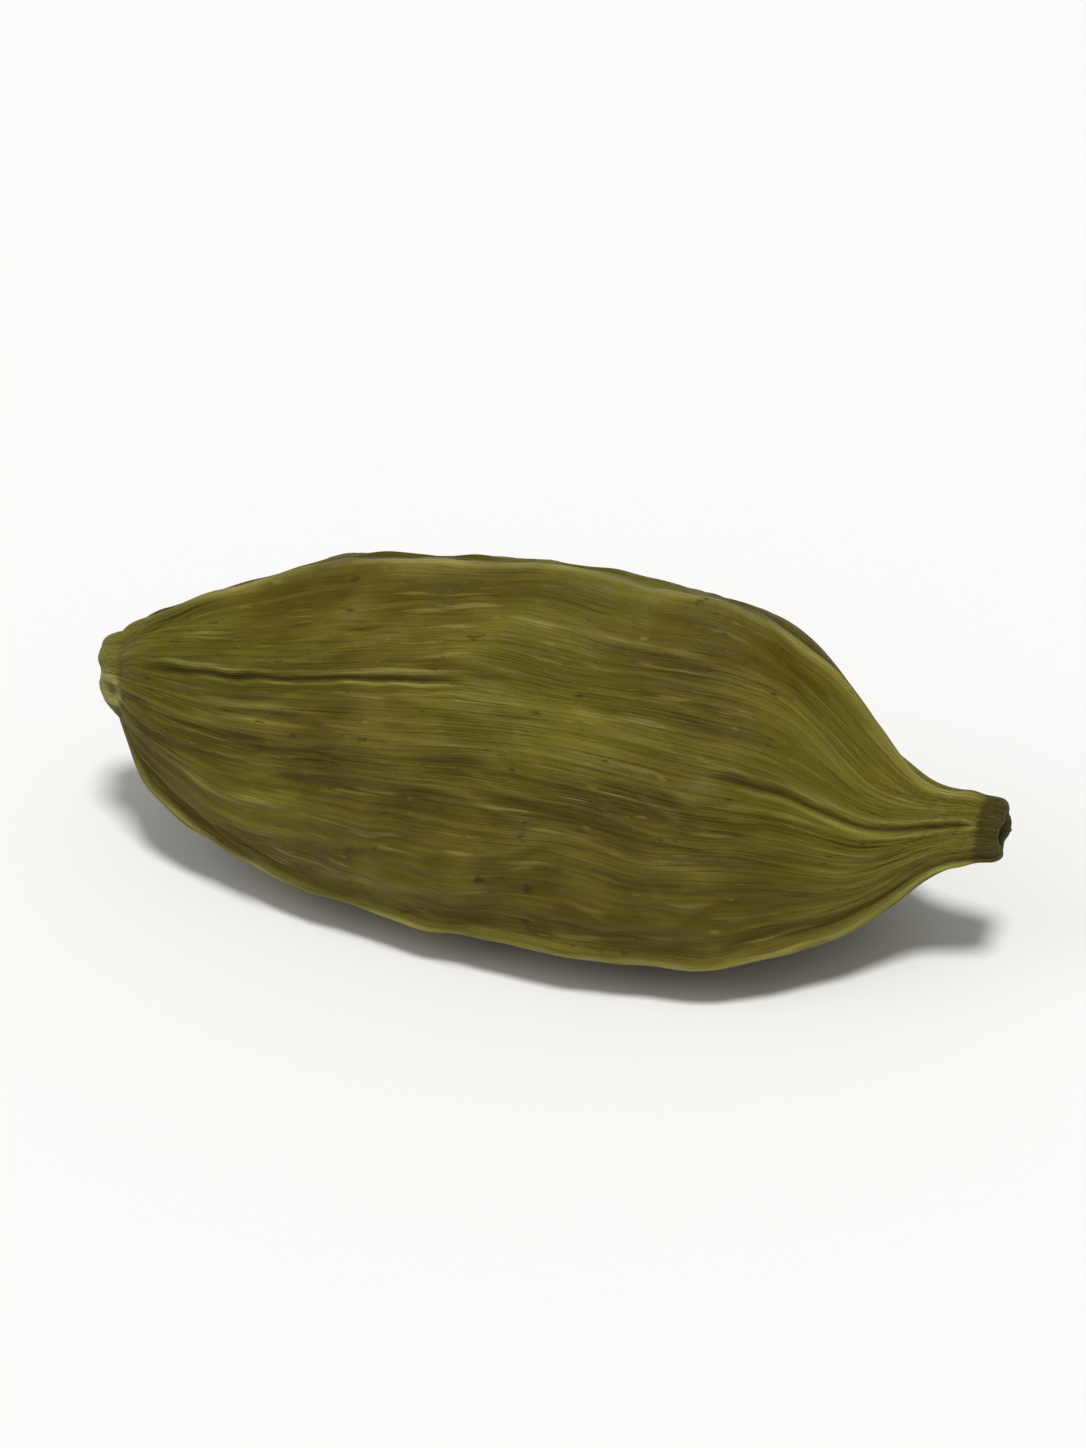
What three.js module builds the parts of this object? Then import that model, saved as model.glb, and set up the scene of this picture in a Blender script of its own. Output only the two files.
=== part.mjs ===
// A dried green cardamom pod, lying on one of its three faces.
// Millimetres, +Z up, the beak towards +X, the origin at the bottom centre of the bounding box.
// The pod is one closed capsule that grew in one piece: a blunt base with the stalk scar, a body with
// three long ridges and finer ribs between them, and a narrow beak that ends in the dried rim of the flower.

import * as THREE from "three";

const TAU = 2 * Math.PI;

// Overall sizes
const LENGTH = 17.0;
const MEAN_RADIUS = 3.3;
const WIDEST_AT = 8.9;
const REST_HEIGHT = 2.72;

// The cross-section: a rounded triangle with one ridge on top and one face down.
// It grows out of the round ends of the pod between the two radii.
const FACES = 3;
const TOP_RIDGE_ANGLE = TAU / 4;
const TRIANGLE = 0.12;
const TRIANGLE_SHARPNESS = 0.016;
const TRIANGLE_RADII = [0.8, 2.4];

// The base half is turned about the axis, so that its top ridge leans to one side
const TWIST = 0.12;
const TWIST_BETWEEN = [4, 10];

// The base: a blunt knob that ends in the stalk scar, a shallow dish. The knob is neither round nor square
// to the pod, and this fades out into the body between two places along it.
const KNOB_RADIUS = 0.66;
const KNOB_LENGTH = 0.5;
const KNOB_FADE = [0.1, 1.5];
const KNOB_LOBES = [
  { height: 0.06, turns: 3, phase: 1.1 },
  { height: 0.05, turns: 2, phase: 0.3 },
  { height: 0.22, turns: 1, phase: -1.6 },
];
const KNOB_SLANT = { height: 0.12, turns: 1, phase: -3.3 };
const SCAR_DISH = 0.1;
const BODY_START = 0.25;
const BASE_POWER = 1.9;

// The beak: a narrow neck that ends in the dried rim of the flower tube
const NECK_RADIUS = 0.68;
const NECK_AT = 16.3;
const SHOULDER_POWER = 2.12;
const RIM_RADIUS = 0.6;
const RIM_LENGTH = 0.44;
const RIM_TEETH = [
  { height: 0.025, turns: 3, phase: 0.8 },
  { height: 0.02, turns: 5, phase: 2.2 },
];
const CUP_DEPTH = 0.3;
const CUP_RADIUS = 0.34;

// How far the centre line sags below the line from the scar to the beak. A negative depth is a rise.
const SAGS = [
  { depth: -0.1, at: 0, reach: 1.1 },
  { depth: 0.27, at: 2.9, reach: 1.73 },
  { depth: -0.27, at: 4.0, reach: 5.2 },
  { depth: 0.5, at: 14.8, reach: 1.18 },
];

// The ridges and ribs: each ridge is the first of the crests of its face, with a furrow on both sides.
// Every other rib fades out towards the ends, and the rest run on to the scar and the beak.
const CRESTS_PER_FACE = 8;
const CRESTS = FACES * CRESTS_PER_FACE;
const RIDGE_HEIGHT = 0.2;
const RIDGE_UNEVENNESS = 0.06;
const RIDGE_FURROW = { depth: 0.05, place: 0.8, reach: 0.45 };
const RIB_HEIGHT = 0.095;
const WEAKEST_RIB = 0.35;
const RIB_UNEVENNESS = 0.35;
const CREST_NARROWNESS = 1.6;
const RIB_JITTER = TAU * 0.009;
const RIB_SWAY = TAU * 0.005;
const RIB_WAVELENGTHS = [5, 10];
const RIBS_LEFT_AT_ENDS = 0.6;
const RIB_FADE_RADII = [0.7, 1.8];

// A few deeper furrows, each for a part of the length, with its place among the crests
const LONG_FURROWS = [
  { place: 2.5, depth: 0.06, from: 0.9, to: 7.8 },
  { place: 3.5, depth: 0.03, from: 2.0, to: 5.4 },
  { place: 3.5, depth: 0.05, from: 11.5, to: 17.5 },
  { place: 10.5, depth: 0.06, from: 2.0, to: 9.5 },
  { place: 13.5, depth: 0.07, from: 6.0, to: 15.0 },
  { place: 18.5, depth: 0.07, from: 1.5, to: 11.0 },
  { place: 21.5, depth: 0.06, from: 5.0, to: 15.0 },
];
const LONG_FURROW_REACH = 0.25;
const LONG_FURROW_FADE = 1.2;

// Soft swells and dents where the husk dried over the seeds
const SWELLS = [
  { height: 0.027, length: 5.3, turns: 2, phase: 1.18 },
  { height: 0.024, length: 3.6, turns: -3, phase: 4.17 },
  { height: 0.014, length: 2.5, turns: 5, phase: 1.74 },
  { height: 0.027, length: 8.7, turns: -1, phase: 0.09 },
];
const SWELL_RADII = [0.8, 2.4];

// The mesh: columns of points around the pod, and rings of them along it
const COLUMNS = 4 * CRESTS;
const BODY_RINGS_TO_WIDEST = 21;
const BODY_RINGS_TO_NECK = 30;
const FULL_COLUMNS_ABOVE = 0.85;
const HALF_COLUMNS_ABOVE = 0.5;

const SEED = 20461;

function smoothstep([low, high], x) {
  const t = Math.min(1, Math.max(0, (x - low) / (high - low)));
  return t * t * (3 - 2 * t);
}

function mix(a, b, t) {
  return a + (b - a) * t;
}

// A seeded stream of numbers from 0 to 1
function makeDraw(seed) {
  let state = seed;
  return () => {
    state = (Math.imul(state, 1664525) + 1013904223) >>> 0;
    return state / 4294967296;
  };
}

// The sum of a list of waves round the pod
function waves(list, angle) {
  return list.reduce((sum, wave) => sum + wave.height * Math.cos(wave.turns * angle + wave.phase), 0);
}

// Each crest has its own place, height and slow sway, as veins on a real husk do
function makeCrests() {
  const draw = makeDraw(SEED);
  return Array.from({ length: CRESTS }, (_, k) => {
    const ridge = k % CRESTS_PER_FACE === 0;
    const jitter = 2 * draw() - 1;
    const strength = draw();
    const sway = 2 * draw() - 1;
    const wave = mix(...RIB_WAVELENGTHS, draw());
    const phase = TAU * draw();
    return {
      angle: TOP_RIDGE_ANGLE + (TAU * k) / CRESTS + (ridge ? 0 : RIB_JITTER * jitter),
      height: ridge ? RIDGE_HEIGHT : RIB_HEIGHT * mix(WEAKEST_RIB, 1, strength),
      unevenness: ridge ? RIDGE_UNEVENNESS : RIB_UNEVENNESS,
      lasting: ridge || k % 2 === 0,
      sway: RIB_SWAY * sway,
      wave,
      phase,
    };
  });
}

const crests = makeCrests();

// The mean radius of the body: nearly a half ellipse from the scar to the widest place,
// then a long shoulder that falls into the neck
function bodyRadius(s) {
  if (s < WIDEST_AT) {
    const x = (WIDEST_AT - s) / (WIDEST_AT - BODY_START);
    return MEAN_RADIUS * Math.sqrt(Math.max(0, 1 - x ** BASE_POWER));
  }
  const x = Math.min(1, (s - WIDEST_AT) / (NECK_AT - WIDEST_AT));
  return mix(NECK_RADIUS, MEAN_RADIUS, 0.5 + 0.5 * Math.cos(Math.PI * x ** SHOULDER_POWER));
}

// The outline from the middle of the scar to the middle of the cup in the beak, as rings.
// Each ring says how much of the ribs and of the rim's teeth it takes.
function outline() {
  const knob = [
    { s: 0.4 * SCAR_DISH, r: 0.5 * KNOB_RADIUS },
    { s: 0, r: 0.76 * KNOB_RADIUS },
    { s: 0.14 * KNOB_LENGTH, r: 0.92 * KNOB_RADIUS },
    { s: 0.42 * KNOB_LENGTH, r: 1.04 * KNOB_RADIUS, ribs: 0.2 },
    { s: 0.72 * KNOB_LENGTH, r: 1.13 * KNOB_RADIUS, ribs: 0.6 },
  ];
  const bodyStart = Math.acos((WIDEST_AT - KNOB_LENGTH) / (WIDEST_AT - BODY_START));
  const toWidest = Array.from({ length: BODY_RINGS_TO_WIDEST }, (_, i) => {
    const turn = mix(bodyStart, TAU / 4, i / BODY_RINGS_TO_WIDEST);
    const s = WIDEST_AT - (WIDEST_AT - BODY_START) * Math.cos(turn);
    return { s, r: bodyRadius(s), ribs: 1 };
  });
  const toNeck = Array.from({ length: BODY_RINGS_TO_NECK }, (_, i) => {
    const s = mix(WIDEST_AT, NECK_AT, i / (BODY_RINGS_TO_NECK - 1));
    return { s, r: bodyRadius(s), ribs: 1 };
  });
  const beak = [
    { s: LENGTH - RIM_LENGTH, r: RIM_RADIUS, ribs: 0.9 },
    { s: LENGTH - 0.75 * RIM_LENGTH, r: 0.99 * RIM_RADIUS, ribs: 0.7, teeth: 0.2 },
    { s: LENGTH - 0.25 * RIM_LENGTH, r: 0.96 * RIM_RADIUS, ribs: 0.5, teeth: 0.8 },
    { s: LENGTH, r: 0.82 * RIM_RADIUS, ribs: 0.2, teeth: 1 },
    { s: LENGTH - 0.1 * CUP_DEPTH, r: CUP_RADIUS, teeth: 0.9 },
    { s: LENGTH - 0.6 * CUP_DEPTH, r: 0.9 * CUP_RADIUS, teeth: 0.3 },
    { s: LENGTH - 0.9 * CUP_DEPTH, r: 0.6 * CUP_RADIUS },
  ];
  return [...knob, ...toWidest, ...toNeck, ...beak];
}

// Where a column lies, as a place among the crests: 0 is the first crest, 0.5 the furrow after it
function columnAngle(place, s) {
  const k = Math.floor(place);
  const angleOf = (index) => {
    const crest = crests[index % CRESTS];
    const turns = index >= CRESTS ? TAU : 0;
    return crest.angle + turns + crest.sway * Math.sin((TAU * s) / crest.wave + crest.phase);
  };
  return mix(angleOf(k), angleOf(k + 1), place - k);
}

// How far the husk stands out at a place among the crests
function ribRelief(place, s, r) {
  const k = Math.floor(place);
  const share = place - k;
  const full = smoothstep(RIB_FADE_RADII, r);
  const heightOf = (index) => {
    const crest = crests[index % CRESTS];
    const ends = crest.lasting ? mix(RIBS_LEFT_AT_ENDS, 1, full) : full;
    const along = Math.sin((TAU * s) / (0.7 * crest.wave) - crest.phase);
    return crest.height * ends * (1 - crest.unevenness + crest.unevenness * along);
  };
  const crestShape = (0.5 + 0.5 * Math.cos(TAU * share)) ** CREST_NARROWNESS;
  const half = CRESTS_PER_FACE / 2;
  const fromRidge = Math.abs(((place + half) % CRESTS_PER_FACE) - half);
  const furrow = Math.exp(-(((fromRidge - RIDGE_FURROW.place) / RIDGE_FURROW.reach) ** 2));
  const ribs = mix(heightOf(k), heightOf(k + 1), share) * crestShape;
  return ribs - RIDGE_FURROW.depth * full * furrow - longFurrows(place, s);
}

// How deep the long furrows are at a place among the crests
function longFurrows(place, s) {
  return LONG_FURROWS.reduce((sum, { place: middle, depth, from, to }) => {
    const across = Math.exp(-(((place - middle) / LONG_FURROW_REACH) ** 2));
    const start = smoothstep([from, from + LONG_FURROW_FADE], s);
    const end = smoothstep([to - LONG_FURROW_FADE, to], s);
    return sum + depth * across * (start - end);
  }, 0);
}

function swell(angle, s) {
  return SWELLS.reduce(
    (sum, w) => sum + w.height * Math.sin((TAU * s) / w.length + w.turns * angle + w.phase),
    0,
  );
}

// The height of the middle of the pod at a distance along it
function centreHeight(s) {
  const sagOf = ({ depth, at, reach }) => depth * Math.exp(-(((s - at) / reach) ** 2));
  const sag = SAGS.reduce((sum, one) => sum + sagOf(one), 0);
  return REST_HEIGHT - sag;
}

function surfacePoint({ s, r, ribs = 0, teeth = 0 }, normal, place) {
  const angle = columnAngle(place, s);
  const knob = 1 - smoothstep(KNOB_FADE, s);
  const turn = FACES * (angle - TOP_RIDGE_ANGLE);
  const triangle = TRIANGLE * Math.cos(turn) + TRIANGLE_SHARPNESS * Math.cos(2 * turn);
  const section = 1 + smoothstep(TRIANGLE_RADII, r) * triangle + knob * waves(KNOB_LOBES, angle);
  const relief = ribs * ribRelief(place, s, r) + smoothstep(SWELL_RADII, r) * swell(angle, s);
  const radius = r * section + normal.r * relief;
  const slant = knob * waves([KNOB_SLANT], angle);
  const tooth = teeth * waves(RIM_TEETH, angle);
  const turned = angle + TWIST * (1 - smoothstep(TWIST_BETWEEN, s));
  return new THREE.Vector3(
    s + normal.s * relief + slant + tooth,
    radius * Math.cos(turned),
    Math.max(0, centreHeight(s) + radius * Math.sin(turned)),
  );
}

// The outline's outward direction at each ring, from its neighbours
function outlineNormal(rings, i) {
  const before = rings[Math.max(0, i - 1)];
  const after = rings[Math.min(rings.length - 1, i + 1)];
  const length = Math.hypot(after.s - before.s, after.r - before.r);
  return { s: -(after.r - before.r) / length, r: (after.s - before.s) / length };
}

function columnsFor(radius) {
  if (radius > FULL_COLUMNS_ABOVE) return COLUMNS;
  return radius > HALF_COLUMNS_ABOVE ? COLUMNS / 2 : COLUMNS / 4;
}

// One closed surface: a fan at each end, and bands between rings of equal or halved columns
function podGeometry() {
  const rings = outline();
  const points = [];
  const triangles = [];
  const rows = rings.map((ring, i) => {
    const columns = columnsFor(ring.r);
    const normal = outlineNormal(rings, i);
    const first = points.length;
    for (let j = 0; j < columns; j++) {
      points.push(surfacePoint(ring, normal, (j * CRESTS) / columns));
    }
    return { first, columns };
  });

  const at = (row, j) => row.first + (j % row.columns);
  const bandOfEqual = (a, b) => {
    for (let j = 0; j < a.columns; j++) {
      triangles.push(at(a, j), at(a, j + 1), at(b, j + 1));
      triangles.push(at(a, j), at(b, j + 1), at(b, j));
    }
  };
  const bandOfHalved = (few, many, flip) => {
    for (let j = 0; j < few.columns; j++) {
      const [low, high] = [at(few, j), at(few, j + 1)];
      const [left, middle, right] = [at(many, 2 * j), at(many, 2 * j + 1), at(many, 2 * j + 2)];
      const three = [
        [low, middle, left],
        [low, high, middle],
        [high, right, middle],
      ];
      three.forEach(([p, q, r]) => triangles.push(...(flip ? [p, r, q] : [p, q, r])));
    }
  };
  for (let i = 1; i < rows.length; i++) {
    const [a, b] = [rows[i - 1], rows[i]];
    if (a.columns === b.columns) bandOfEqual(a, b);
    else if (a.columns < b.columns) bandOfHalved(a, b, false);
    else bandOfHalved(b, a, true);
  }

  const fan = (row, s, flip) => {
    const tip = points.push(new THREE.Vector3(s, 0, centreHeight(s))) - 1;
    for (let j = 0; j < row.columns; j++) {
      const [p, q] = [at(row, j), at(row, j + 1)];
      triangles.push(...(flip ? [tip, p, q] : [tip, q, p]));
    }
  };
  fan(rows[0], SCAR_DISH, false);
  fan(rows[rows.length - 1], LENGTH - CUP_DEPTH, true);

  const geometry = new THREE.BufferGeometry().setFromPoints(points).setIndex(triangles);
  geometry.computeBoundingBox();
  const middle = geometry.boundingBox.getCenter(new THREE.Vector3());
  geometry.translate(-middle.x, -middle.y, 0);
  geometry.computeVertexNormals();
  return geometry;
}

const husk = new THREE.MeshStandardMaterial({ color: 0x7d7636, roughness: 0.62, metalness: 0 });

const pod = new THREE.Mesh(podGeometry(), husk);
pod.name = "cardamom_pod";

const part = new THREE.Group();
part.add(pod);

export default part;
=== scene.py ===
import math

import bpy
import numpy as np
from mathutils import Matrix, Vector


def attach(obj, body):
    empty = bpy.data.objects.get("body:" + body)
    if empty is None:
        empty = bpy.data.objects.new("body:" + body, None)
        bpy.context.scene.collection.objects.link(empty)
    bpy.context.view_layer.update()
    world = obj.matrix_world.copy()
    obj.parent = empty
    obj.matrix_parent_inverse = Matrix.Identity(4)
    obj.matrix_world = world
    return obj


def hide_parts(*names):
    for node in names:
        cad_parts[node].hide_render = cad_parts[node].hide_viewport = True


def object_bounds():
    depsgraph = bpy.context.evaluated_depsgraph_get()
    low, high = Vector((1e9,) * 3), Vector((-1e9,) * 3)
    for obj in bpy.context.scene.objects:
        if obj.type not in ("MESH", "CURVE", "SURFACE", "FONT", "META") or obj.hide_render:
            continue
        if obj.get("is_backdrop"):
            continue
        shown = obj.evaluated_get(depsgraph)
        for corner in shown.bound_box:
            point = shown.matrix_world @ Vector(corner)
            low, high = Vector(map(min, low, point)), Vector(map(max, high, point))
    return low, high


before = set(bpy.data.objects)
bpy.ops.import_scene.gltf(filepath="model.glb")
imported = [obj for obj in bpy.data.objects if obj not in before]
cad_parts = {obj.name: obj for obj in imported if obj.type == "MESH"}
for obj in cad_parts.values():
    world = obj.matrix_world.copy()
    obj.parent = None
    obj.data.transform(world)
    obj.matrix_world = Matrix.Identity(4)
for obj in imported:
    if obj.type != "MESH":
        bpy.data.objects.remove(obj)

cad_low, cad_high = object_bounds()

# The camera looks down at the nearest face of the pod, so that this face is seen square-on and the pod
# runs down to the right. A long lens keeps the shape nearly free of perspective.
IMAGE_WIDTH, IMAGE_HEIGHT = 1086, 1448
AZIMUTH = math.radians(16.7)
ELEVATION = math.radians(33)
LENS_MM = 135
SENSOR_MM = 36
POD_SHARE_OF_WIDTH = 0.84

pod_length = cad_high.x - cad_low.x
pod_middle = (cad_low + cad_high) / 2
frame_width_per_metre = SENSOR_MM / LENS_MM * IMAGE_WIDTH / IMAGE_HEIGHT
camera_distance = pod_length * math.cos(AZIMUTH) / POD_SHARE_OF_WIDTH / frame_width_per_metre

camera = bpy.data.objects.new("camera", bpy.data.cameras.new("camera"))
bpy.context.scene.collection.objects.link(camera)
camera.data.lens = LENS_MM
camera.data.sensor_width = SENSOR_MM
camera.data.clip_start = camera_distance / 10
towards_camera = Vector((
    math.sin(AZIMUTH) * math.cos(ELEVATION),
    -math.cos(AZIMUTH) * math.cos(ELEVATION),
    math.sin(ELEVATION),
))
camera.location = pod_middle + camera_distance * towards_camera
camera.rotation_euler = towards_camera.to_track_quat("Z", "Y").to_euler()
bpy.context.scene.camera = camera
bpy.context.scene.view_settings.view_transform = "Standard"


# The floor is a sheet of white card. Two large soft lights stand over it, the stronger one almost
# overhead and a little in front, and pale studio walls all round fill the shadows.
def linear(code):
    """An sRGB hex colour as the linear colour that a shader takes."""
    parts = [int(code[i:i + 2], 16) / 255 for i in (1, 3, 5)]
    return [p / 12.92 if p <= 0.04045 else ((p + 0.055) / 1.055) ** 2.4 for p in parts] + [1]


def add(tree, kind, inputs=None, **settings):
    """Adds a node with its settings. An input is a value, or the socket that it is linked to."""
    made = tree.nodes.new(kind)
    for name, value in settings.items():
        setattr(made, name, value)
    for name, value in (inputs or {}).items():
        if isinstance(value, bpy.types.NodeSocket):
            tree.links.new(value, made.inputs[name])
        else:
            made.inputs[name].default_value = value
    return made


def new_material(name):
    """An empty node tree, and the material that holds it."""
    material = bpy.data.materials.new(name)
    material.use_nodes = True
    material.node_tree.nodes.clear()
    return material, material.node_tree


FLOOR_SIZE = 4
WALLS = "#c8c9ca"
WALL_LIGHT = 0.55
STUDIO_LIGHTS = [
    {"azimuth": 24, "elevation": 76, "strength": 2.2, "angle": 14},
    {"azimuth": -60, "elevation": 40, "strength": 0.4, "angle": 40},
]

card, tree = new_material("white_card")
card_shader = add(tree, "ShaderNodeBsdfPrincipled", {"Base Color": linear("#f4f3f1"), "Roughness": 0.9})
add(tree, "ShaderNodeOutputMaterial", {"Surface": card_shader.outputs["BSDF"]})
half = FLOOR_SIZE / 2
floor_corners = [(-half, -half, 0), (half, -half, 0), (half, half, 0), (-half, half, 0)]
floor_mesh = bpy.data.meshes.new("floor")
floor_mesh.from_pydata(floor_corners, [], [(0, 1, 2, 3)])
floor_mesh.materials.append(card)
floor = bpy.data.objects.new("floor", floor_mesh)
bpy.context.scene.collection.objects.link(floor)
floor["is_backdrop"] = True

world = bpy.data.worlds.new("studio_walls")
world.use_nodes = True
world.node_tree.nodes["Background"].inputs["Color"].default_value = linear(WALLS)
world.node_tree.nodes["Background"].inputs["Strength"].default_value = WALL_LIGHT
bpy.context.scene.world = world

for index, studio_light in enumerate(STUDIO_LIGHTS):
    lamp = bpy.data.lights.new(f"soft_light_{index}", "SUN")
    lamp.energy = studio_light["strength"]
    lamp.angle = math.radians(studio_light["angle"])
    light = bpy.data.objects.new(lamp.name, lamp)
    bpy.context.scene.collection.objects.link(light)
    azimuth = math.radians(studio_light["azimuth"])
    elevation = math.radians(studio_light["elevation"])
    towards_light = Vector((
        math.sin(azimuth) * math.cos(elevation),
        -math.cos(azimuth) * math.cos(elevation),
        math.sin(elevation),
    ))
    light.rotation_euler = towards_light.to_track_quat("Z", "Y").to_euler()


# The husk is the dried skin of a three-sided seed capsule, thin and fibrous. It is one closed surface
# that repeats the ridges, ribs and furrows of the frame's solid, and adds the fine veins and crinkles
# that drying left between them. Sizes are in millimetres, and run from the stalk scar to the beak.
MM = 0.001
TAU = 2 * math.pi
LENGTH = 17.0
MEAN_RADIUS = 3.3
WIDEST_AT = 8.9
REST_HEIGHT = 2.72
FACES = 3
TOP_RIDGE_ANGLE = TAU / 4
TRIANGLE = 0.12
TRIANGLE_SHARPNESS = 0.016
TRIANGLE_RADII = (0.8, 2.4)
TWIST = 0.12
TWIST_BETWEEN = (4, 10)

# The knob that the stalk left. Lobes, slant and teeth are waves round the pod: height, turns, phase.
KNOB_RADIUS = 0.66
KNOB_LENGTH = 0.5
KNOB_FADE = (0.1, 1.5)
KNOB_LOBES = [(0.06, 3, 1.1), (0.05, 2, 0.3), (0.22, 1, -1.6)]
KNOB_SLANT = [(0.12, 1, -3.3)]
SCAR_DISH = 0.1
BODY_START = 0.25
BASE_POWER = 1.9

# The beak narrows to a neck, and ends in the ragged rim of the dried flower round a small cup
NECK_RADIUS = 0.68
NECK_AT = 16.3
SHOULDER_POWER = 2.12
RIM_RADIUS = 0.6
RIM_LENGTH = 0.44
RIM_TEETH = [(0.025, 3, 0.8), (0.02, 5, 2.2), (0.006, 11, 1.3)]
CUP_DEPTH = 0.3
CUP_RADIUS = 0.34

# How far the pod's axis sags: the depth, the place along the pod, and how far it reaches
SAGS = [(-0.1, 0, 1.1), (0.27, 2.9, 1.73), (-0.27, 4.0, 5.2), (0.5, 14.8, 1.18)]

# Crests are counted round the pod from the top ridge: a ridge at each corner, seven ribs on each face
CRESTS_PER_FACE = 8
CRESTS = FACES * CRESTS_PER_FACE
RIDGE_HEIGHT = 0.2
RIDGE_UNEVENNESS = 0.06
RIDGE_FURROW_DEPTH = 0.05
RIDGE_FURROW_PLACE = 0.8
RIDGE_FURROW_REACH = 0.45
RIB_HEIGHT = 0.095
WEAKEST_RIB = 0.35
RIB_UNEVENNESS = 0.35
CREST_NARROWNESS = 1.6
RIB_JITTER = TAU * 0.009
RIB_SWAY = TAU * 0.005
RIB_WAVELENGTHS = (5, 10)
RIBS_LEFT_AT_ENDS = 0.6
RIB_FADE_RADII = (0.7, 1.8)

# Each long furrow's place among the crests, its depth, and where it starts and ends
LONG_FURROWS = [
    (2.5, 0.06, 0.9, 7.8),
    (3.5, 0.03, 2.0, 5.4),
    (3.5, 0.05, 11.5, 17.5),
    (10.5, 0.06, 2.0, 9.5),
    (13.5, 0.07, 6.0, 15.0),
    (18.5, 0.07, 1.5, 11.0),
    (21.5, 0.06, 5.0, 15.0),
]
DEEP_FURROW = 0.06
FURROW_WANDER = 0.015
LONG_FURROW_REACH = 0.25
LONG_FURROW_FADE = 1.2

# Slow swells of the whole husk: the height, wavelength, turns and phase
SWELLS = [(0.027, 5.3, 2, 1.18), (0.024, 3.6, -3, 4.17), (0.014, 2.5, 5, 1.74), (0.027, 8.7, -1, 0.09)]
SWELL_RADII = (0.8, 2.4)
SEED = 20461

# Veins run along the husk about 0.5 mm apart, with finer fibres between them. Drying has crinkled
# both, and has sunk soft dents between the seeds.
VEIN_HEIGHT = 0.03
VEIN_TURNS = (16, 30)
VEIN_STRAIGHT_FOR = 5
VEIN_WIDTH = 0.4
FIBRE_HEIGHT = 0.006
FIBRE_TURNS = (55, 90)
FIBRE_STRAIGHT_FOR = 2
CRINKLE_HEIGHT = 0.013
CRINKLE_TURNS = (5, 22)
CRINKLE_STRAIGHT_FOR = 0.8
DENT_HEIGHT = 0.03
DENT_TURNS = (3, 9)
DENT_STRAIGHT_FOR = 2.4
FINE_RELIEF_RADII = (0.35, 1.3)
KNOB_ROUGHNESS = 0.012
KNOB_TURNS = (3, 12)
KNOB_STRAIGHT_FOR = 2

# Patches of the face painted paler or darker: the place along the pod and among the crests, how far
# they reach both ways, and how pale they are. The first is a painted highlight across the upper middle
# of the face and the second is painted shade along its lower half; the others are rubbed paler, or stay
# darker.
PATCHES = [
    (8.6, 2.9, 2.0, 1.0, 1.0),
    (9.0, 4.9, 4.5, 0.9, -0.5),
    (11.6, 4.8, 1.7, 1.1, -0.3),
    (6.0, 4.4, 1.6, 0.7, -0.3),
    (3.6, 5.8, 1.6, 0.9, 0.6),
    (14.0, 2.2, 1.1, 1.1, 0.6),
]

# The stalk left a small round scar low on the side of the knob: a raised ring round a pit.
SCAR_AT = 0.3
SCAR_ANGLE = TAU * 0.455
SCAR_RADIUS = 0.24
SCAR_HEIGHT = 0.04

# How fine the mesh is, and how far its outline is rounded
COLUMNS_PER_CREST = 18
BODY_RING_STEP = 0.105
END_RING_STEP = 0.05
END_REACH = 1.1
OUTLINE_STEP = 0.01
ROUNDING = 0.13


def mix(a, b, t):
    return a + (b - a) * t


def smoothstep(limits, x):
    t = np.clip((x - limits[0]) / (limits[1] - limits[0]), 0, 1)
    return t * t * (3 - 2 * t)


def hump(x, reach):
    """A smooth bump of height 1 round zero."""
    return np.exp(-(x / reach) ** 2)


def waves(rows, angle):
    """The sum of waves round the pod, each given by its height, turns and phase."""
    return sum(height * np.cos(turns * angle + phase) for height, turns, phase in rows)


def seeded_draws(seed):
    """An endless stream of numbers from 0 to 1."""
    state = seed
    while True:
        state = (state * 1664525 + 1013904223) % 2 ** 32
        yield state / 2 ** 32


def make_crests():
    """Each crest's place, height, unevenness, sway and wavelength, as columns of an array."""
    draws = seeded_draws(SEED)
    rows = []
    for k in range(CRESTS):
        ridge = k % CRESTS_PER_FACE == 0
        jitter = 2 * next(draws) - 1
        strength = next(draws)
        sway = 2 * next(draws) - 1
        wavelength = mix(*RIB_WAVELENGTHS, next(draws))
        phase = TAU * next(draws)
        rows.append({
            "angle": TOP_RIDGE_ANGLE + TAU * k / CRESTS + (0 if ridge else RIB_JITTER * jitter),
            "height": RIDGE_HEIGHT if ridge else RIB_HEIGHT * mix(WEAKEST_RIB, 1, strength),
            "unevenness": RIDGE_UNEVENNESS if ridge else RIB_UNEVENNESS,
            "lasting": ridge or k % 2 == 0,
            "sway": RIB_SWAY * sway,
            "wavelength": wavelength,
            "phase": phase,
        })
    rows.append({**rows[0], "angle": rows[0]["angle"] + TAU})
    return {name: np.array([[row[name]] for row in rows]) for name in rows[0]}


def body_radius(s):
    """Nearly a half ellipse from the scar to the widest place, then a long shoulder down to the neck."""
    before = np.clip((WIDEST_AT - s) / (WIDEST_AT - BODY_START), 0, 1)
    after = np.clip((s - WIDEST_AT) / (NECK_AT - WIDEST_AT), 0, 1)
    shoulder = mix(NECK_RADIUS, MEAN_RADIUS, 0.5 + 0.5 * np.cos(math.pi * after ** SHOULDER_POWER))
    return np.where(s < WIDEST_AT, MEAN_RADIUS * np.sqrt(1 - before ** BASE_POWER), shoulder)


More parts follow.
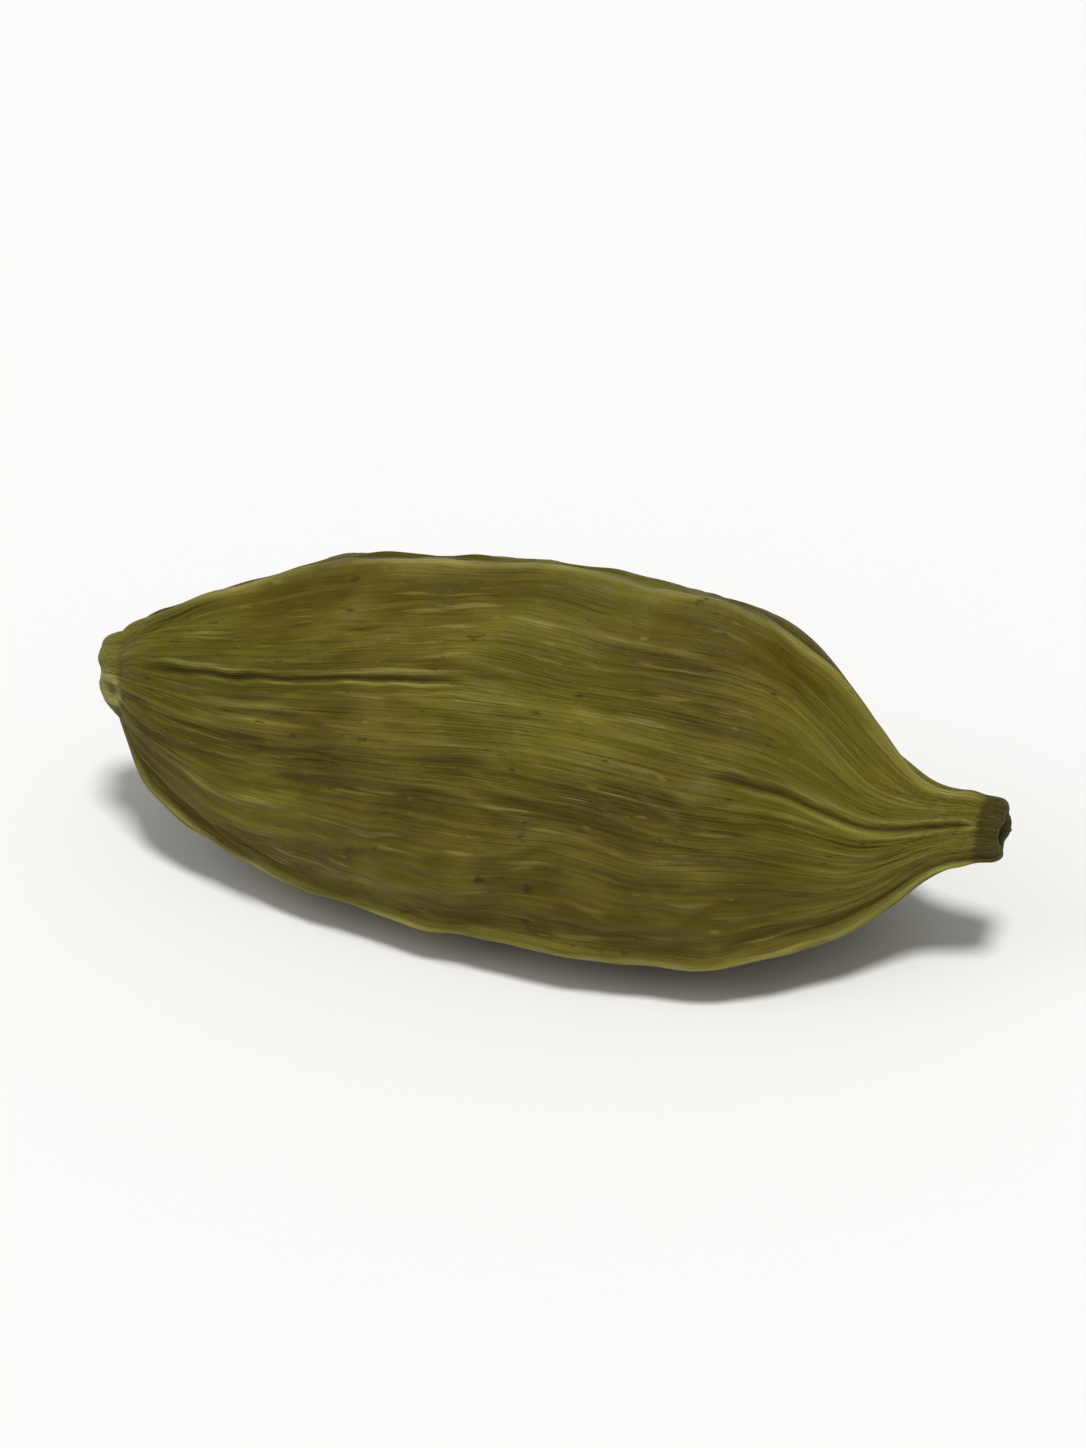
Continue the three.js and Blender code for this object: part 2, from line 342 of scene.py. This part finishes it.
def outline():
    """Rings from the middle of the scar to the bottom of the cup in the beak. Each is its place, its
    radius, and how much it takes of the ribs, the rim's teeth and the tip's colour."""
    base_reach = WIDEST_AT - BODY_START
    base_turn = np.linspace(math.acos((WIDEST_AT - KNOB_LENGTH) / base_reach), TAU / 4, 60)[:-1]
    body_at = WIDEST_AT - base_reach * np.cos(base_turn)
    body_at = np.concatenate([body_at, np.linspace(WIDEST_AT, NECK_AT, 80)])
    knob = [
        (SCAR_DISH, 0, 0, 0, 0),
        (0.4 * SCAR_DISH, 0.5 * KNOB_RADIUS, 0, 0, 0),
        (0, 0.76 * KNOB_RADIUS, 0, 0, 0),
        (0.14 * KNOB_LENGTH, 0.92 * KNOB_RADIUS, 0, 0, 0),
        (0.42 * KNOB_LENGTH, 1.04 * KNOB_RADIUS, 0.2, 0, 0),
        (0.72 * KNOB_LENGTH, 1.13 * KNOB_RADIUS, 0.6, 0, 0),
    ]
    body = [(s, r, 1, 0, 0) for s, r in zip(body_at, body_radius(body_at))]
    beak = [
        (LENGTH - RIM_LENGTH, RIM_RADIUS, 0.9, 0, 0.5),
        (LENGTH - 0.75 * RIM_LENGTH, 0.99 * RIM_RADIUS, 0.7, 0.2, 1),
        (LENGTH - 0.25 * RIM_LENGTH, 0.96 * RIM_RADIUS, 0.5, 0.8, 1),
        (LENGTH, 0.82 * RIM_RADIUS, 0.2, 1, 1),
        (LENGTH - 0.1 * CUP_DEPTH, CUP_RADIUS, 0, 0.9, 1),
        (LENGTH - 0.6 * CUP_DEPTH, 0.9 * CUP_RADIUS, 0, 0.3, 1),
        (LENGTH - 0.9 * CUP_DEPTH, 0.6 * CUP_RADIUS, 0, 0, 1),
        (LENGTH - CUP_DEPTH, 0, 0, 0, 1),
    ]
    return np.array(knob + body + beak).T


def fine_rings():
    """The outline with its corners rounded, as rings that lie closer together at the two ends."""
    rough = outline()
    walked = np.concatenate([[0], np.cumsum(np.hypot(np.diff(rough[0]), np.diff(rough[1])))])
    steps = np.arange(0, walked[-1], OUTLINE_STEP)
    even = np.array([np.interp(steps, walked, row) for row in rough])
    half_window = round(ROUNDING / OUTLINE_STEP)
    window = np.hanning(2 * half_window + 3)[1:-1]
    padded = np.pad(even, ((0, 0), (half_window, half_window)), mode="edge")
    even = np.array([np.convolve(row, window / window.sum(), mode="valid") for row in padded])
    from_end = np.minimum(steps, walked[-1] - steps)
    step_there = mix(END_RING_STEP, BODY_RING_STEP, smoothstep((END_REACH, 2 * END_REACH), from_end))
    count = np.cumsum(OUTLINE_STEP / step_there)
    wanted = np.arange(count[0] + 0.5, count[-1])
    return np.array([np.interp(wanted, count, row) for row in even])


def grain(random, turns, straight_for, angle, s, count=36):
    """Irregular lines along the husk: many waves round it, each leaning a little one way or the other."""
    total = np.zeros(np.broadcast(angle, s).shape)
    for _ in range(count):
        lean = random.uniform(-1, 1) / straight_for
        total += np.cos(random.integers(*turns) * angle + TAU * (s * lean + random.uniform()))
    return total * math.sqrt(2 / count)


# Every ring of the outline, with the direction square to the husk there
s, r, ribs, teeth, tip = fine_rings()[:, :, None]
knob = 1 - smoothstep(KNOB_FADE, s)
normal_s, normal_r = -np.gradient(r[:, 0])[:, None], np.gradient(s[:, 0])[:, None]
normal_length = np.hypot(normal_s, normal_r)
normal_s, normal_r = normal_s / normal_length, normal_r / normal_length

# The columns of the mesh follow the crests, which stand a little unevenly and sway along the pod
columns = CRESTS * COLUMNS_PER_CREST
place = np.arange(columns)[None, :] / COLUMNS_PER_CREST
crest_before = np.floor(place).astype(int)[0]
share = place - crest_before
crests = make_crests()
crest_angle = crests["angle"] + crests["sway"] * np.sin(TAU * s.T / crests["wavelength"] + crests["phase"])
angle = mix(crest_angle[crest_before].T, crest_angle[crest_before + 1].T, share)

# Ridges and ribs stand up at the crests and fade towards the ends. A furrow runs beside each ridge.
full = smoothstep(RIB_FADE_RADII, r)
left_at_ends = np.where(crests["lasting"], mix(RIBS_LEFT_AT_ENDS, 1, full.T), full.T)
along = np.sin(TAU * s.T / (0.7 * crests["wavelength"]) - crests["phase"])
crest_height = crests["height"] * left_at_ends * (1 - crests["unevenness"] + crests["unevenness"] * along)
crest_shape = (0.5 + 0.5 * np.cos(TAU * share)) ** CREST_NARROWNESS
half_face = CRESTS_PER_FACE / 2
from_ridge = np.abs((place + half_face) % CRESTS_PER_FACE - half_face)
rib_relief = mix(crest_height[crest_before].T, crest_height[crest_before + 1].T, share) * crest_shape
rib_relief -= RIDGE_FURROW_DEPTH * full * hump(from_ridge - RIDGE_FURROW_PLACE, RIDGE_FURROW_REACH)

# Irregular lines along the husk shape its veins, fibres, crinkles and dents
husk_angle = TAU * place / CRESTS
random = np.random.default_rng(SEED)
vein_lines = hump(grain(random, VEIN_TURNS, VEIN_STRAIGHT_FOR, husk_angle, s), VEIN_WIDTH)
fibres = grain(random, FIBRE_TURNS, FIBRE_STRAIGHT_FOR, husk_angle, s)
crinkles = grain(random, CRINKLE_TURNS, CRINKLE_STRAIGHT_FOR, husk_angle, s)
dents = grain(random, DENT_TURNS, DENT_STRAIGHT_FOR, husk_angle, s)
knob_grain = grain(random, KNOB_TURNS, KNOB_STRAIGHT_FOR, husk_angle, s)

# Each long furrow cuts into the husk and wanders a little. Every point keeps its distance from the
# nearest furrow, in millimetres, and how strongly that furrow shows there.
crest_spacing = np.maximum(r, NECK_RADIUS) * TAU / CRESTS
wandering = place + FURROW_WANDER * crinkles
from_furrow = np.full_like(rib_relief, LENGTH)
furrow_strength = np.zeros_like(rib_relief)
for middle, depth, starts, ends in LONG_FURROWS:
    present = smoothstep((starts, starts + LONG_FURROW_FADE), s)
    present = present - smoothstep((ends - LONG_FURROW_FADE, ends), s)
    rib_relief -= depth * present * hump(wandering - middle, LONG_FURROW_REACH)
    away = np.abs(wandering - middle) * crest_spacing
    nearest = (away < from_furrow) & (present > 0)
    from_furrow = np.where(nearest, away, from_furrow)
    furrow_strength = np.where(nearest, np.minimum(1, present * depth / DEEP_FURROW), furrow_strength)

# Each point's tone from the patches, which holds their painted highlight and painted shade
tone_and_painted_light = np.zeros_like(rib_relief)
for at, middle, length, width, pale in PATCHES:
    tone_and_painted_light += pale * hump(s - at, length) * hump(place - middle, width)

fine_relief = VEIN_HEIGHT * (vein_lines - vein_lines.mean()) + FIBRE_HEIGHT * fibres
fine_relief = fine_relief * mix(0.3, 1, ribs) + CRINKLE_HEIGHT * crinkles + DENT_HEIGHT * full * dents
fine_relief *= smoothstep(FINE_RELIEF_RADII, r)

# The section is a rounded triangle. It carries all the relief, and the axis sags under it.
turn = FACES * (angle - TOP_RIDGE_ANGLE)
triangle = TRIANGLE * np.cos(turn) + TRIANGLE_SHARPNESS * np.cos(2 * turn)
section = 1 + smoothstep(TRIANGLE_RADII, r) * triangle + knob * waves(KNOB_LOBES, angle)
swell = sum(h * np.sin(TAU * s / length + turns * angle + phase) for h, length, turns, phase in SWELLS)
from_scar = np.hypot(s - SCAR_AT, r * ((angle - SCAR_ANGLE + math.pi) % TAU - math.pi))
scar_ring = hump(from_scar - SCAR_RADIUS, 0.4 * SCAR_RADIUS)
scar_relief = SCAR_HEIGHT * (scar_ring - hump(from_scar, 0.6 * SCAR_RADIUS))
knob_relief = KNOB_ROUGHNESS * mix(knob, 1, ribs) * knob_grain * smoothstep((1.2, 0.4), s)
relief = ribs * rib_relief + smoothstep(SWELL_RADII, r) * swell + fine_relief + scar_relief + knob_relief
radius = r * section + normal_r * relief
turned = angle + TWIST * (1 - smoothstep(TWIST_BETWEEN, s))
centre_height = REST_HEIGHT - sum(depth * hump(s - at, reach) for depth, at, reach in SAGS)
points = np.stack([
    s + normal_s * relief + knob * waves(KNOB_SLANT, angle) + teeth * waves(RIM_TEETH, angle),
    radius * np.cos(turned),
    np.maximum(0, centre_height + radius * np.sin(turned)),
], axis=-1)

# The two poles close the surface, and the whole is fitted to the frame's box.
rings = len(points)
poles = points[[0, -1]].mean(axis=1)
points = np.concatenate([points.reshape(-1, 3), poles])
low, high = points.min(axis=0), points.max(axis=0)
points = np.array(cad_low) + (points - low) / (high - low) * np.array(cad_high - cad_low)

ring, column = np.meshgrid(np.arange(rings - 1), np.arange(columns), indexing="ij")
corner = ring * columns + column
next_corner = ring * columns + (column + 1) % columns
quads = np.stack([corner, next_corner, next_corner + columns, corner + columns], axis=-1).reshape(-1, 4)
around = np.arange(columns)
after = (around + 1) % columns
scar_pole, beak_pole = len(points) - 2, len(points) - 1
last_ring = (rings - 1) * columns
fans = [(scar_pole, int(b), int(a)) for a, b in zip(around, after)]
fans += [(beak_pole, last_ring + int(a), last_ring + int(b)) for a, b in zip(around, after)]

husk_mesh = bpy.data.meshes.new("husk")
husk_mesh.from_pydata(points.tolist(), [], quads.tolist() + fans)
husk_mesh.polygons.foreach_set("use_smooth", [True] * len(husk_mesh.polygons))


def store(mesh, name, values, scar_end=0, beak_end=0):
    """Keeps a number, or a vector, at each point of the husk, for the husk's material to read."""
    flat = (values * np.ones((rings, columns, 1))).reshape(rings * columns, -1)
    ends = np.array([[scar_end], [beak_end]]) * np.ones((2, flat.shape[1]))
    kind, field = ("FLOAT_VECTOR", "vector") if flat.shape[1] == 3 else ("FLOAT", "value")
    flat = np.concatenate([flat, ends]).astype(np.float32)
    mesh.attributes.new(name, kind, "POINT").data.foreach_set(field, flat.ravel())


everywhere = np.ones((rings, columns))
store(husk_mesh, "grain", np.stack([
    s * everywhere,
    MEAN_RADIUS * np.cos(husk_angle) * everywhere,
    MEAN_RADIUS * np.sin(husk_angle) * everywhere,
], axis=-1))
store(husk_mesh, "tone_and_painted_light", tone_and_painted_light[..., None])
store(husk_mesh, "from_ridge", (from_ridge * crest_spacing + (1 - ribs))[..., None], 1, 1)
store(husk_mesh, "from_furrow", (from_furrow + (1 - ribs))[..., None], 1, 1)
store(husk_mesh, "furrow_strength", furrow_strength[..., None])
store(husk_mesh, "rib", np.clip(rib_relief * ribs / RIB_HEIGHT, 0, 1)[..., None])
store(husk_mesh, "vein", (vein_lines * ribs)[..., None])
store(husk_mesh, "tip", tip[..., None], beak_end=1)
store(husk_mesh, "knob", knob[..., None], scar_end=1)
store(husk_mesh, "from_scar", from_scar[..., None], 1, LENGTH)

# Dried plant skin: waxy and fibrous, a deep olive that turns greener or browner from place to place.
# It gives a low satin gloss that breaks up along the fibres.
husk, tree = new_material("dried_cardamom_husk")
grain_at = add(tree, "ShaderNodeAttribute", attribute_name="grain").outputs["Vector"]
tone_and_painted_light_at = add(tree, "ShaderNodeAttribute", attribute_name="tone_and_painted_light").outputs["Fac"]
from_ridge_at = add(tree, "ShaderNodeAttribute", attribute_name="from_ridge").outputs["Fac"]
from_furrow_at = add(tree, "ShaderNodeAttribute", attribute_name="from_furrow").outputs["Fac"]
furrow_at = add(tree, "ShaderNodeAttribute", attribute_name="furrow_strength").outputs["Fac"]
rib_at = add(tree, "ShaderNodeAttribute", attribute_name="rib").outputs["Fac"]
vein_at = add(tree, "ShaderNodeAttribute", attribute_name="vein").outputs["Fac"]
tip_at = add(tree, "ShaderNodeAttribute", attribute_name="tip").outputs["Fac"]
knob_at = add(tree, "ShaderNodeAttribute", attribute_name="knob").outputs["Fac"]
from_scar_at = add(tree, "ShaderNodeAttribute", attribute_name="from_scar").outputs["Fac"]
along_at = add(tree, "ShaderNodeSeparateXYZ", {"Vector": grain_at}).outputs["X"]

# Blotches of 2 to 4 mm, browner where the husk dried first, greener and paler where it dried last
blotch_space = add(tree, "ShaderNodeVectorMath", {0: grain_at, 1: (0.24, 0.4, 0.4)}, operation="MULTIPLY")
blotches = add(tree, "ShaderNodeTexNoise", {"Vector": blotch_space.outputs[0], "Scale": 1, "Detail": 3})
# The patches' tone adds a painted highlight on the upper middle of the face and painted shade on its lower
# half
tone_here = add(
    tree, "ShaderNodeMath", {0: tone_and_painted_light_at, 1: 0.2, 2: blotches.outputs["Fac"]}, operation="MULTIPLY_ADD"
)
olive = add(tree, "ShaderNodeValToRGB", {"Fac": tone_here.outputs[0]})
olive.color_ramp.elements[0].position = 0.3
olive.color_ramp.elements[0].color = linear("#4e4306")
olive.color_ramp.elements[1].position = 0.7
olive.color_ramp.elements[1].color = linear("#615c0d")
olive.color_ramp.elements.new(0.48).color = linear("#554b07")

# Mottling 1 to 2 mm long and about 1 mm wide, with a dry bloom on its palest places
mottle_space = add(tree, "ShaderNodeVectorMath", {0: grain_at, 1: (0.55, 1.2, 1.2)}, operation="MULTIPLY")
mottle = add(tree, "ShaderNodeTexNoise", {"Vector": mottle_space.outputs[0], "Scale": 1, "Detail": 5})
mottle_depth = add(
    tree, "ShaderNodeMapRange",
    {"Value": mottle.outputs["Fac"], "From Min": 0.3, "From Max": 0.7, "To Min": 0.83, "To Max": 1.07},
)
mottled = add(
    tree, "ShaderNodeVectorMath", {0: olive.outputs["Color"], "Scale": mottle_depth.outputs["Result"]},
    operation="SCALE",
)
bloom_share = add(
    tree, "ShaderNodeMapRange",
    {"Value": mottle.outputs["Fac"], "From Min": 0.48, "From Max": 0.7, "To Min": 0, "To Max": 0.3},
)
bloomed = add(
    tree, "ShaderNodeMixRGB",
    {"Fac": bloom_share.outputs["Result"], "Color1": mottled.outputs[0], "Color2": linear("#807a2d")},
)

# Streaks of pigment 0.12 mm wide and up to 1 mm long, which follow the fibres
streak_space = add(tree, "ShaderNodeVectorMath", {0: grain_at, 1: (1.3, 8, 8)}, operation="MULTIPLY")
streaks = add(tree, "ShaderNodeTexNoise", {"Vector": streak_space.outputs[0], "Scale": 1, "Detail": 3})
streak_depth = add(
    tree, "ShaderNodeMapRange",
    {"Value": streaks.outputs["Fac"], "From Min": 0.3, "From Max": 0.7, "To Min": 0.88, "To Max": 1.12},
)
streaked = add(
    tree, "ShaderNodeVectorMath", {0: bloomed.outputs["Color"], "Scale": streak_depth.outputs["Result"]},
    operation="SCALE",
)

# The beak and the knob stay paler and yellower than the body
beak_share = add(
    tree, "ShaderNodeMapRange",
    {"Value": along_at, "From Min": 13.4, "From Max": 16.2, "To Min": 0, "To Max": 0.62},
)
knob_share = add(
    tree, "ShaderNodeMapRange",
    {"Value": along_at, "From Min": 1.3, "From Max": 0.3, "To Min": 0, "To Max": 0.5},
)
end_share = add(
    tree, "ShaderNodeMath",
    {0: beak_share.outputs["Result"], 1: knob_share.outputs["Result"]}, operation="ADD",
)
pale_ends = add(
    tree, "ShaderNodeMixRGB",
    {"Fac": end_share.outputs[0], "Color1": streaked.outputs[0], "Color2": linear("#8b8433")},
)

# Ribs and veins are a little paler than the skin between them
raised = add(tree, "ShaderNodeMath", {0: rib_at, 1: vein_at}, operation="ADD")
raised_share = add(
    tree, "ShaderNodeMapRange",
    {"Value": raised.outputs[0], "From Min": 0.4, "From Max": 1.8, "To Min": 0, "To Max": 0.3},
)
pale_ribs = add(tree, "ShaderNodeMixRGB", {
    "Fac": raised_share.outputs["Result"],
    "Color1": pale_ends.outputs["Color"],
    "Color2": linear("#8a8233"),
})

# Fibres 0.05 mm wide and up to 3 mm long are drawn in both paler and darker than the skin
fibre_space = add(tree, "ShaderNodeVectorMath", {0: grain_at, 1: (0.4, 20, 20)}, operation="MULTIPLY")
fibre_noise = add(tree, "ShaderNodeTexNoise", {"Vector": fibre_space.outputs[0], "Scale": 1, "Detail": 3})
fibre_depth = add(
    tree, "ShaderNodeMapRange",
    {"Value": fibre_noise.outputs["Fac"], "From Min": 0.36, "From Max": 0.64, "To Min": 0.9, "To Max": 1.1},
)
fibrous = add(
    tree, "ShaderNodeVectorMath", {0: pale_ribs.outputs["Color"], "Scale": fibre_depth.outputs["Result"]},
    operation="SCALE",
)

# Veins 0.15 mm wide and 1 to 2 mm long stand out here and there, paler or darker than the skin
line_space = add(tree, "ShaderNodeVectorMath", {0: grain_at, 1: (0.6, 6.5, 6.5)}, operation="MULTIPLY")
line_noise = add(tree, "ShaderNodeTexNoise", {"Vector": line_space.outputs[0], "Scale": 1, "Detail": 2})
pale_line_share = add(
    tree, "ShaderNodeMapRange",
    {"Value": line_noise.outputs["Fac"], "From Min": 0.6, "From Max": 0.72, "To Min": 0, "To Max": 0.4},
)
pale_lined = add(
    tree, "ShaderNodeMixRGB",
    {"Fac": pale_line_share.outputs["Result"], "Color1": fibrous.outputs[0], "Color2": linear("#968e46")},
)
dark_line_share = add(
    tree, "ShaderNodeMapRange",
    {"Value": line_noise.outputs["Fac"], "From Min": 0.39, "From Max": 0.28, "To Min": 0, "To Max": 0.45},
)
veined = add(
    tree, "ShaderNodeMixRGB",
    {"Fac": dark_line_share.outputs["Result"], "Color1": pale_lined.outputs[0], "Color2": linear("#3a3007")},
)

# A painted highlight runs along the three ridges as a broken straw-coloured line about 0.12 mm wide
line_break = add(
    tree, "ShaderNodeMapRange",
    {"Value": mottle.outputs["Fac"], "From Min": 0.35, "From Max": 0.6, "To Min": 0.2, "To Max": 1},
)
# Painted highlight along each ridge crest
painted_ridge_highlight = add(
    tree, "ShaderNodeMapRange",
    {"Value": from_ridge_at, "From Min": 0.1, "From Max": 0.03, "To Min": 0, "To Max": 0.6},
)
ridge_highlight_share = add(
    tree, "ShaderNodeMath", {0: painted_ridge_highlight.outputs["Result"], 1: line_break.outputs["Result"]},
    operation="MULTIPLY",
)
ridge_highlighted = add(
    tree, "ShaderNodeMixRGB",
    {"Fac": ridge_highlight_share.outputs[0], "Color1": veined.outputs["Color"], "Color2": linear("#a89f58")},
)

# The long furrows have a fine pale line along each side, and painted shade along their bottom
side_rise = add(
    tree, "ShaderNodeMapRange",
    {"Value": from_furrow_at, "From Min": 0.07, "From Max": 0.11, "To Min": 0, "To Max": 0.55},
)
side_fall = add(
    tree, "ShaderNodeMapRange",
    {"Value": from_furrow_at, "From Min": 0.18, "From Max": 0.12, "To Min": 0, "To Max": 1},
)
side_line = add(
    tree, "ShaderNodeMath", {0: side_rise.outputs["Result"], 1: side_fall.outputs["Result"]},
    operation="MULTIPLY",
)
side_broken = add(
    tree, "ShaderNodeMath", {0: side_line.outputs[0], 1: line_break.outputs["Result"]}, operation="MULTIPLY"
)
side_share = add(tree, "ShaderNodeMath", {0: side_broken.outputs[0], 1: furrow_at}, operation="MULTIPLY")
lined = add(
    tree, "ShaderNodeMixRGB",
    {"Fac": side_share.outputs[0], "Color1": ridge_highlighted.outputs["Color"], "Color2": linear("#a59c52")},
)
# Painted shade darkens the bottom of each long furrow
furrow_shade_line = add(
    tree, "ShaderNodeMapRange",
    {"Value": from_furrow_at, "From Min": 0.07, "From Max": 0.02, "To Min": 0, "To Max": 0.85},
)
furrow_shade_share = add(
    tree, "ShaderNodeMath", {0: furrow_shade_line.outputs["Result"], 1: furrow_at}, operation="MULTIPLY"
)
furrow_shaded = add(
    tree, "ShaderNodeMixRGB",
    {"Fac": furrow_shade_share.outputs[0], "Color1": lined.outputs["Color"], "Color2": linear("#2b2406")},
)

# Pale flecks 0.3 mm long, where single fibres have lifted
fleck_space = add(tree, "ShaderNodeVectorMath", {0: grain_at, 1: (2.6, 9, 9)}, operation="MULTIPLY")
fleck_noise = add(tree, "ShaderNodeTexNoise", {"Vector": fleck_space.outputs[0], "Scale": 1, "Detail": 1})
fleck_share = add(
    tree, "ShaderNodeMapRange",
    {"Value": fleck_noise.outputs["Fac"], "From Min": 0.71, "From Max": 0.81, "To Min": 0, "To Max": 0.22},
)
flecked = add(
    tree, "ShaderNodeMixRGB",
    {"Fac": fleck_share.outputs["Result"], "Color1": furrow_shaded.outputs["Color"], "Color2": linear("#a89e5c")},
)

# Brown specks 0.1 to 0.3 mm across, of no regular shape
speck_space = add(tree, "ShaderNodeVectorMath", {0: grain_at, 1: (1.8, 4.4, 4.4)}, operation="MULTIPLY")
speck_noise = add(
    tree, "ShaderNodeTexNoise",
    {"Vector": speck_space.outputs[0], "Scale": 1, "Detail": 4, "Roughness": 0.6},
)
speck_share = add(
    tree, "ShaderNodeMapRange",
    {"Value": speck_noise.outputs["Fac"], "From Min": 0.65, "From Max": 0.72, "To Min": 0, "To Max": 0.7},
)
specked = add(
    tree, "ShaderNodeMixRGB",
    {"Fac": speck_share.outputs["Result"], "Color1": flecked.outputs["Color"], "Color2": linear("#2c2006")},
)

# The rim of the beak has dried to a dark olive brown
tip_edge = add(tree, "ShaderNodeMath", {0: streaks.outputs["Fac"], 1: 0.5}, operation="SUBTRACT")
tip_ragged = add(tree, "ShaderNodeMath", {0: tip_at, 1: tip_edge.outputs[0]}, operation="ADD")
tip_share = add(
    tree, "ShaderNodeMapRange",
    {"Value": tip_ragged.outputs[0], "From Min": 0.4, "From Max": 0.7, "To Min": 0, "To Max": 0.74},
)
browned = add(
    tree, "ShaderNodeMixRGB",
    {"Fac": tip_share.outputs["Result"], "Color1": specked.outputs["Color"], "Color2": linear("#3f3914")},
)

# The knob is bare fibre, and straw-coloured at the ring of the scar, round a dark pit
bare_share = add(
    tree, "ShaderNodeMapRange",
    {"Value": knob_at, "From Min": 0.75, "From Max": 1, "To Min": 0, "To Max": 0.5},
)
bare = add(
    tree, "ShaderNodeMixRGB",
    {"Fac": bare_share.outputs["Result"], "Color1": browned.outputs["Color"], "Color2": linear("#8f8a48")},
)
scar_share = add(
    tree, "ShaderNodeMapRange",
    {"Value": from_scar_at, "From Min": 0.36, "From Max": 0.26, "To Min": 0, "To Max": 0.75},
)
scarred = add(
    tree, "ShaderNodeMixRGB",
    {"Fac": scar_share.outputs["Result"], "Color1": bare.outputs["Color"], "Color2": linear("#aba462")},
)
pit_share = add(
    tree, "ShaderNodeMapRange",
    {"Value": from_scar_at, "From Min": 0.14, "From Max": 0.05, "To Min": 0, "To Max": 0.65},
)
pitted = add(
    tree, "ShaderNodeMixRGB",
    {"Fac": pit_share.outputs["Result"], "Color1": scarred.outputs["Color"], "Color2": linear("#4a4015")},
)

# The fibres and the leathery grain of the skin catch the light
fibre_bump = add(
    tree, "ShaderNodeBump",
    {"Height": fibre_noise.outputs["Fac"], "Strength": 0.9, "Distance": 0.07 * MM},
)
leather_space = add(tree, "ShaderNodeVectorMath", {0: grain_at, 1: (3, 4.5, 4.5)}, operation="MULTIPLY")
leather = add(tree, "ShaderNodeTexNoise", {"Vector": leather_space.outputs[0], "Scale": 1, "Detail": 4})
leather_bump = add(tree, "ShaderNodeBump", {
    "Height": leather.outputs["Fac"],
    "Strength": 0.5,
    "Distance": 0.1 * MM,
    "Normal": fibre_bump.outputs["Normal"],
})
gloss = add(
    tree, "ShaderNodeMapRange",
    {"Value": streaks.outputs["Fac"], "From Min": 0.3, "From Max": 0.7, "To Min": 0.38, "To Max": 0.56},
)
husk_shader = add(tree, "ShaderNodeBsdfPrincipled", {
    "Base Color": pitted.outputs["Color"],
    "Roughness": gloss.outputs["Result"],
    "IOR": 1.4,
    "Specular IOR Level": 0.2,
    "Normal": leather_bump.outputs["Normal"],
})
add(tree, "ShaderNodeOutputMaterial", {"Surface": husk_shader.outputs["BSDF"]})
husk_mesh.materials.append(husk)

pod_husk = bpy.data.objects.new("pod_husk", husk_mesh)
bpy.context.scene.collection.objects.link(pod_husk)
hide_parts("cardamom_pod")
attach(pod_husk, "root")

# The finished model's bounds are measured, as the frame's were before the husk was built.
low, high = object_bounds()
